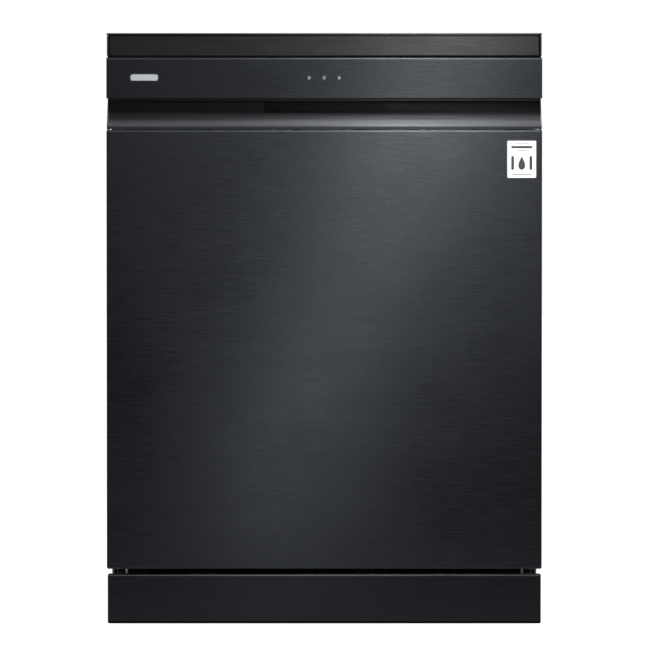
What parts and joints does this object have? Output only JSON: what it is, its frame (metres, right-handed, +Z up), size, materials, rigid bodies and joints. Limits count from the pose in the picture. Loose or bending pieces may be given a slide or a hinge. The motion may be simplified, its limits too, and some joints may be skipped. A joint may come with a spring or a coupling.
{
  "type": "built-in dishwasher",
  "caption": "Dishwasher with a drop-down door, full-width finger pocket, wire racks, cutlery tray, spray arms, pumps and levelling feet.",
  "frame": {"origin": "on the floor, at the middle of the footprint", "axes": "+Z up, the front faces -Y, +X to the right of a person who faces the front"},
  "size_m": [0.598, 0.6, 0.82],
  "materials": {
    "black_steel": "dark brushed stainless steel, satin",
    "worktop_steel": "dark grey lacquered steel, satin",
    "worktop_frame": "dark grey moulded frame, satin",
    "pocket_plastic": "dark grey moulded plastic, semi-gloss",
    "housing_plastic": "black moulded plastic, matt",
    "light_diffuser": "pale translucent plastic",
    "cabinet_paint": "dark grey painted steel, satin",
    "zinc_steel": "galvanised steel, dull",
    "spring_steel": "oiled spring steel",
    "stainless": "brushed stainless steel",
    "seal_rubber": "dark grey rubber, matt",
    "base_plastic": "black moulded plastic, matt",
    "wash_plastic": "grey moulded plastic, satin",
    "pump_plastic": "black glass-filled plastic",
    "rotor_metal": "machined metal",
    "white_plastic": "off-white moulded plastic",
    "dispenser_plastic": "light grey moulded plastic, semi-gloss",
    "rack_coating": "grey nylon-coated wire, satin",
    "wheel_plastic": "grey plastic wheels",
    "board_laminate": "green circuit board laminate"
  },
  "bodies": {
    "cabinet": {"worktop_panel": "worktop_steel", "worktop_frame": "worktop_frame", "side_panel_left": "cabinet_paint", "side_panel_right": "cabinet_paint", "rear_panel": "zinc_steel", "base_tray": "base_plastic", "kick_plate": "black_steel", "tub": "stainless", "tub_gasket": "seal_rubber", "top_brace": "zinc_steel", "hinge_brackets": "zinc_steel", "door_springs": "spring_steel", "sump": "wash_plastic", "wash_pump": "pump_plastic", "drain_pump": "pump_plastic", "filter_plate": "stainless", "softener_tank": "white_plastic", "inlet_valve": "white_plastic", "drain_spigot": "white_plastic", "mains_inlet": "white_plastic", "feed_duct": "wash_plastic", "rack_rails": "stainless"},
    "foot_front_left": {"foot_front_left": "base_plastic"},
    "foot_front_right": {"foot_front_right": "base_plastic"},
    "foot_rear_left": {"foot_rear_left": "base_plastic"},
    "foot_rear_right": {"foot_rear_right": "base_plastic"},
    "pump_rotor": {"pump_rotor": "rotor_metal"},
    "filter_cylinder": {"filter_cylinder": "wash_plastic"},
    "salt_cap": {"salt_cap": "wash_plastic"},
    "top_spray_arm": {"top_spray_arm": "wash_plastic"},
    "lower_spray_arm": {"lower_spray_arm": "wash_plastic"},
    "door": {"door_skin": "black_steel", "door_liner": "stainless", "control_fascia": "black_steel", "indicator_lights": "light_diffuser", "control_housing": "housing_plastic", "control_board": "board_laminate", "handle_pocket": "pocket_plastic", "latch_case": "housing_plastic", "dispenser_body": "dispenser_plastic", "door_bottom_seal": "seal_rubber", "door_arms": "zinc_steel"},
    "button_power": {"button_power": "housing_plastic"},
    "button_program": {"button_program": "housing_plastic"},
    "button_delay": {"button_delay": "housing_plastic"},
    "button_start": {"button_start": "housing_plastic"},
    "latch_hook": {"latch_hook": "spring_steel"},
    "dispenser_lid": {"dispenser_lid": "dispenser_plastic"},
    "rinse_aid_cap": {"rinse_aid_cap": "dispenser_plastic"},
    "upper_rack": {"upper_rack": "rack_coating", "rack_runners": "wash_plastic", "upper_arm_feed": "wash_plastic"},
    "rail_middles": {"rail_middles": "stainless"},
    "upper_spray_arm": {"upper_spray_arm": "wash_plastic"},
    "cup_shelf": {"cup_shelf": "rack_coating"},
    "lower_rack": {"lower_rack": "rack_coating"},
    "wheels_front": {"wheels_front": "wheel_plastic"},
    "wheels_rear": {"wheels_rear": "wheel_plastic"},
    "folding_tines": {"folding_tines": "rack_coating"},
    "cutlery_rack": {"cutlery_rack": "rack_coating"}
  },
  "joints": [
    {"name": "door_hinge", "type": "hinge", "parent": "cabinet", "child": "door", "pos_m": [0, -0.276, 0.104], "axis": [1, 0, 0], "range_deg": [0, 90], "stiffness_Nm_per_rad": 16.5, "deforming": ["door_springs"]},
    {"name": "upper_rack_slide", "type": "slide", "parent": "cabinet", "child": "upper_rack", "axis": [0, -1, 0], "range_m": [0, 0.42]},
    {"name": "rail_middle_slide", "type": "slide", "parent": "cabinet", "child": "rail_middles", "axis": [0, -1, 0], "range_m": [0, 0.21]},
    {"name": "cutlery_rack_slide", "type": "slide", "parent": "cabinet", "child": "cutlery_rack", "axis": [0, -1, 0], "range_m": [0, 0.4]},
    {"name": "lower_rack_slide", "type": "slide", "parent": "cabinet", "child": "lower_rack", "axis": [0, -1, 0], "range_m": [0, 0.1165]},
    {"name": "wheels_front_roll", "type": "hinge", "parent": "lower_rack", "child": "wheels_front", "pos_m": [0, -0.15, 0.1558], "axis": [1, 0, 0], "range_deg": [0, 382]},
    {"name": "wheels_rear_roll", "type": "hinge", "parent": "lower_rack", "child": "wheels_rear", "pos_m": [0, 0.16, 0.1558], "axis": [1, 0, 0], "range_deg": [0, 382]},
    {"name": "folding_tines_hinge", "type": "hinge", "parent": "lower_rack", "child": "folding_tines", "pos_m": [0.12, 0, 0.176], "axis": [0, 1, 0], "range_deg": [0, 85]},
    {"name": "cup_shelf_hinge", "type": "hinge", "parent": "upper_rack", "child": "cup_shelf", "pos_m": [-0.24, 0.01, 0.506], "axis": [0, -1, 0], "range_deg": [0, 80]},
    {"name": "upper_spray_arm_spin", "type": "hinge", "parent": "upper_rack", "child": "upper_spray_arm", "pos_m": [0, 0.012, 0.405], "axis": [0, 0, 1], "continuous": true},
    {"name": "lower_spray_arm_spin", "type": "hinge", "parent": "cabinet", "child": "lower_spray_arm", "pos_m": [0, 0.012, 0.148], "axis": [0, 0, 1], "continuous": true},
    {"name": "top_spray_arm_spin", "type": "hinge", "parent": "cabinet", "child": "top_spray_arm", "pos_m": [0, 0.012, 0.733], "axis": [0, 0, 1], "continuous": true},
    {"name": "pump_rotor_spin", "type": "hinge", "parent": "cabinet", "child": "pump_rotor", "pos_m": [-0.2, -0.02, 0.07], "axis": [1, 0, 0], "continuous": true},
    {"name": "filter_cylinder_twist", "type": "hinge", "parent": "cabinet", "child": "filter_cylinder", "pos_m": [0.062, -0.052, 0.12], "axis": [0, 0, 1], "range_deg": [0, 90]},
    {"name": "salt_cap_turn", "type": "hinge", "parent": "cabinet", "child": "salt_cap", "pos_m": [-0.222, 0.15, 0.14], "axis": [0, 0, 1], "range_deg": [0, 340]},
    {"name": "dispenser_lid_slide", "type": "slide", "parent": "door", "child": "dispenser_lid", "axis": [-1, 0, 0], "range_m": [0, 0.064]},
    {"name": "rinse_aid_cap_turn", "type": "hinge", "parent": "door", "child": "rinse_aid_cap", "pos_m": [0.04, -0.238, 0.43], "axis": [0, 1, 0], "range_deg": [0, 90]},
    {"name": "latch_hook_pivot", "type": "hinge", "parent": "door", "child": "latch_hook", "pos_m": [0, -0.277, 0.765], "axis": [1, 0, 0], "range_deg": [0, 9], "stiffness_Nm_per_rad": 0.05},
    {"name": "button_power_press", "type": "slide", "parent": "door", "child": "button_power", "axis": [0, 0, -1], "range_m": [0, 0.001], "stiffness_N_per_m": 1500},
    {"name": "button_program_press", "type": "slide", "parent": "door", "child": "button_program", "axis": [0, 0, -1], "range_m": [0, 0.001], "stiffness_N_per_m": 1500},
    {"name": "button_delay_press", "type": "slide", "parent": "door", "child": "button_delay", "axis": [0, 0, -1], "range_m": [0, 0.001], "stiffness_N_per_m": 1500},
    {"name": "button_start_press", "type": "slide", "parent": "door", "child": "button_start", "axis": [0, 0, -1], "range_m": [0, 0.001], "stiffness_N_per_m": 1500},
    {"name": "foot_front_left_screw", "type": "slide", "parent": "cabinet", "child": "foot_front_left", "axis": [0, 0, -1], "range_m": [0, 0.03]},
    {"name": "foot_front_right_screw", "type": "slide", "parent": "cabinet", "child": "foot_front_right", "axis": [0, 0, -1], "range_m": [0, 0.03]},
    {"name": "foot_rear_left_screw", "type": "slide", "parent": "cabinet", "child": "foot_rear_left", "axis": [0, 0, -1], "range_m": [0, 0.03]},
    {"name": "foot_rear_right_screw", "type": "slide", "parent": "cabinet", "child": "foot_rear_right", "axis": [0, 0, -1], "range_m": [0, 0.03]}
  ],
  "couplings": [
    {"joint": "upper_rack_slide", "follows": "door_hinge", "m_per_rad": 0.2667},
    {"joint": "rail_middle_slide", "follows": "door_hinge", "m_per_rad": 0.13335},
    {"joint": "cutlery_rack_slide", "follows": "door_hinge", "m_per_rad": 0.2533},
    {"joint": "lower_rack_slide", "follows": "door_hinge", "m_per_rad": 0.0738},
    {"joint": "wheels_front_roll", "follows": "door_hinge", "ratio": 4.217},
    {"joint": "wheels_rear_roll", "follows": "door_hinge", "ratio": 4.217}
  ]
}
